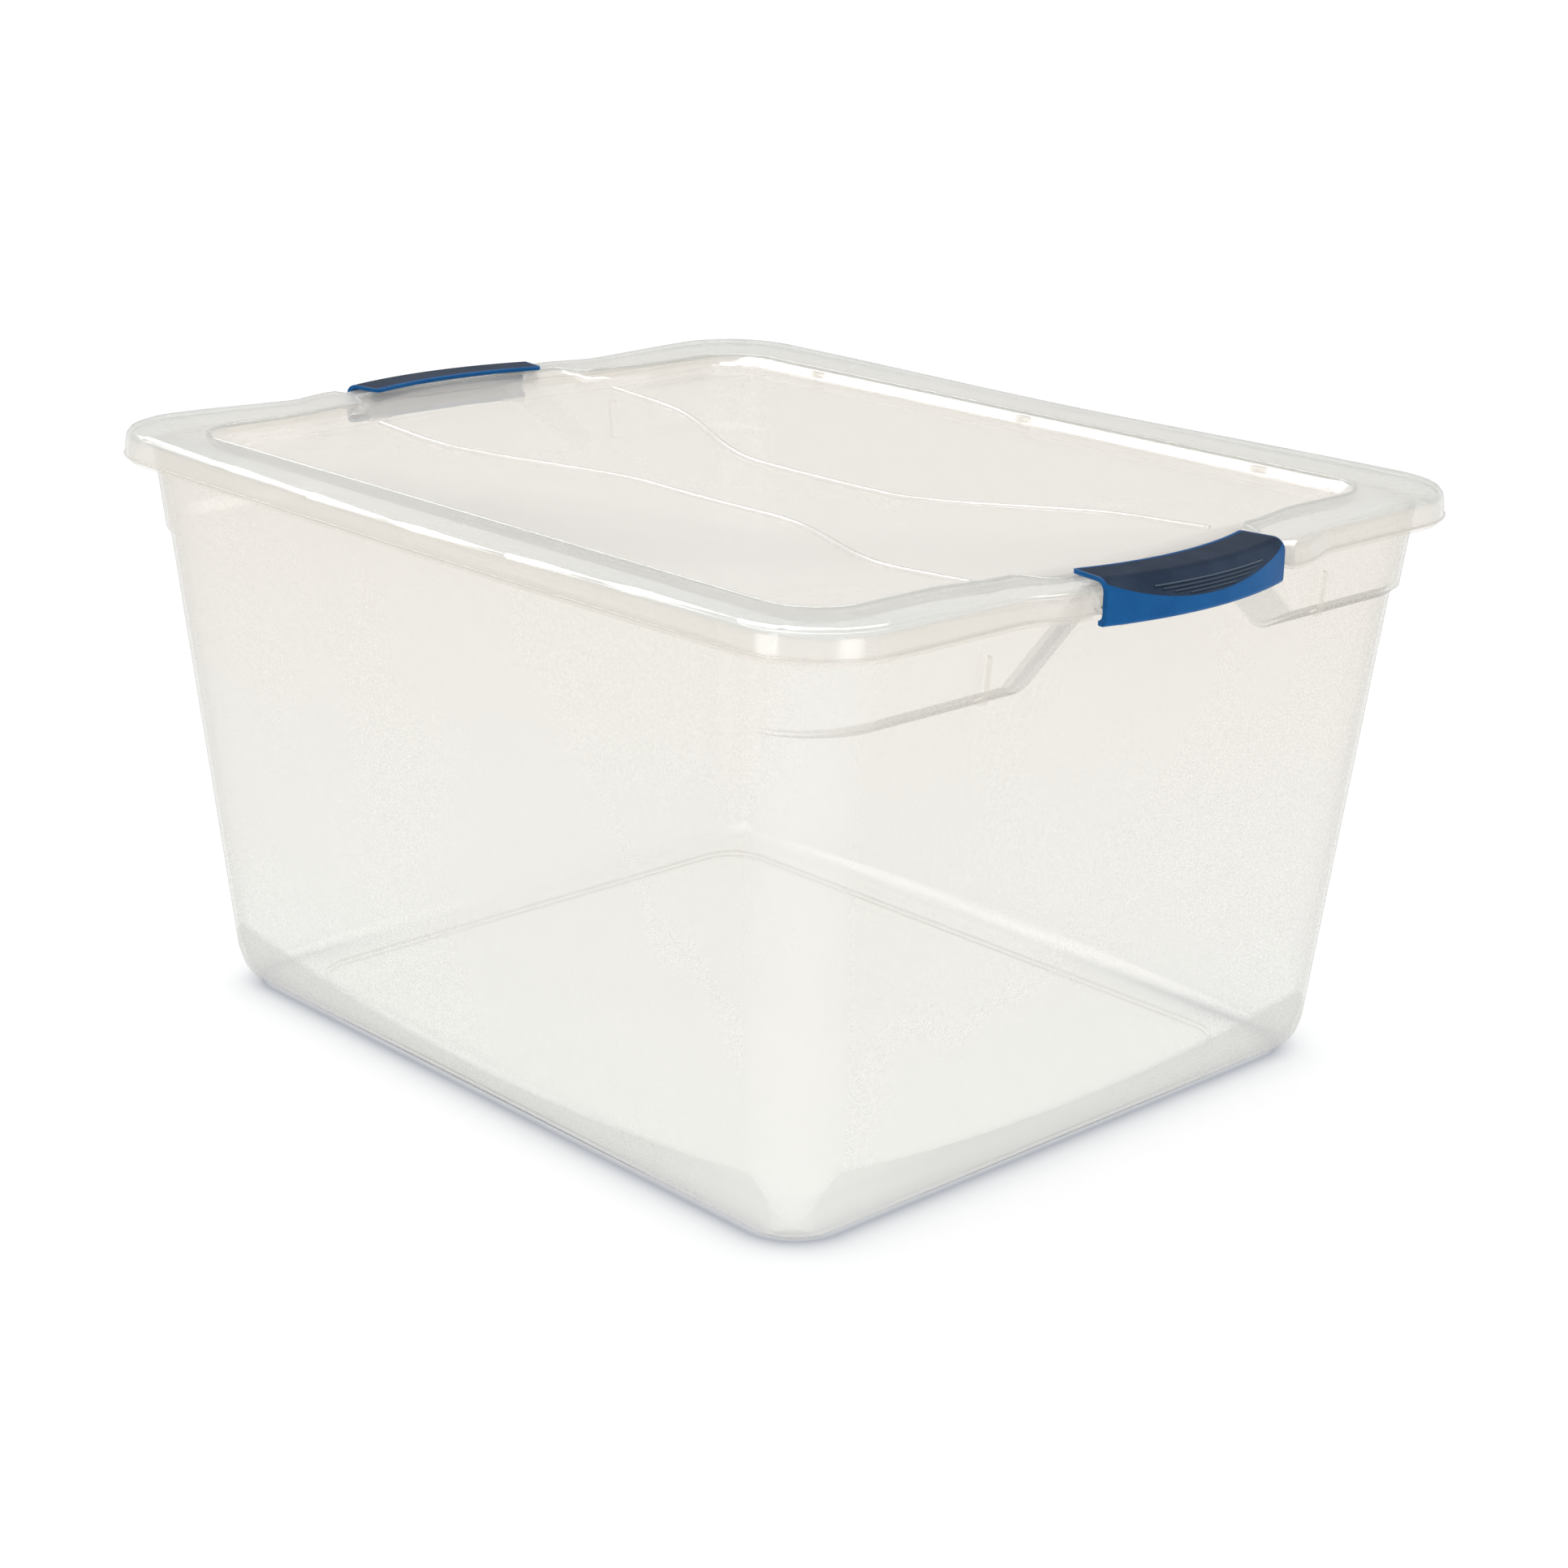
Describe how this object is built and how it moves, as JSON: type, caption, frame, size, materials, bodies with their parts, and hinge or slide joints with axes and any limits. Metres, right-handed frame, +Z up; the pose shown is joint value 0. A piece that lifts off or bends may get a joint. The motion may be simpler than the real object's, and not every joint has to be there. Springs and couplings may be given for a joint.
{
  "type": "storage tote",
  "caption": "Deep translucent plastic storage tote with tapered walls, a dished lift-off lid and hinged end latches.",
  "frame": {"origin": "centre of the foot, on the floor plane", "axes": "+Z up; X along the length, through both latches; Y across the width"},
  "size_m": [0.597, 0.473, 0.311],
  "materials": {
    "tub_plastic": "translucent frosted polypropylene",
    "lid_plastic": "translucent smooth polypropylene",
    "latch_plastic": "satin moulded",
    "grip_rubber": "matte soft grip"
  },
  "bodies": {
    "tub": {"tub": "tub_plastic"},
    "lid": {"lid": "lid_plastic"},
    "latch_right": {"latch_right_body": "latch_plastic", "latch_right_grip": "grip_rubber"},
    "latch_left": {"latch_left_body": "latch_plastic", "latch_left_grip": "grip_rubber"}
  },
  "joints": [
    {"name": "lid_lift", "type": "slide", "parent": "tub", "child": "lid", "axis": [0, 0, 1], "range_m": [0, 0.35]},
    {"name": "latch_right_hinge", "type": "hinge", "parent": "tub", "child": "latch_right", "pos_m": [0.286, 0, 0.2913], "axis": [0, 1, 0], "range_deg": [0, 110]},
    {"name": "latch_left_hinge", "type": "hinge", "parent": "tub", "child": "latch_left", "pos_m": [-0.286, 0, 0.2913], "axis": [0, -1, 0], "range_deg": [0, 110]}
  ]
}
